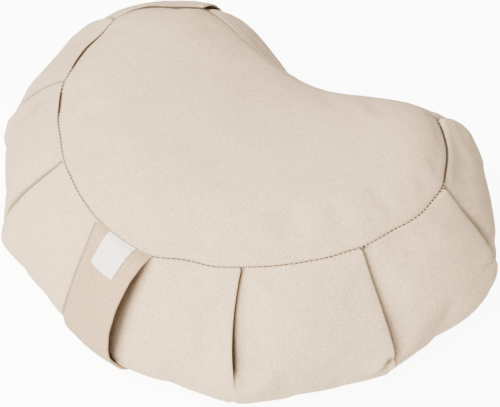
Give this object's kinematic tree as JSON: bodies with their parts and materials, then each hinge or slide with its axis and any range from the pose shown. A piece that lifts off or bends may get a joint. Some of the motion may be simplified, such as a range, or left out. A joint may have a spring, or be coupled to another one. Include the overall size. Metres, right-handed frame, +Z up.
{
  "type": "zafu meditation cushion",
  "caption": "Crescent-shaped floor cushion with a crowned top, a knife-pleated side band and a flat carry strap with a bare patch.",
  "frame": {"origin": "on the surface the cushion stands on, under the middle of its outline", "axes": "+X along its length, +Y towards the hollow of its back, +Z up; the strap faces -Y"},
  "size_m": [0.4631, 0.366, 0.153],
  "materials": {
    "canvas": "natural plain-weave cotton canvas",
    "strap_canvas": "the same canvas, folded and stitched flat",
    "label_white": "white woven tape"
  },
  "bodies": {
    "root": {"side_band": "canvas", "top_panel": "canvas", "bottom_panel": "canvas", "carry_handle": "strap_canvas", "label": "label_white"}
  },
  "joints": []
}
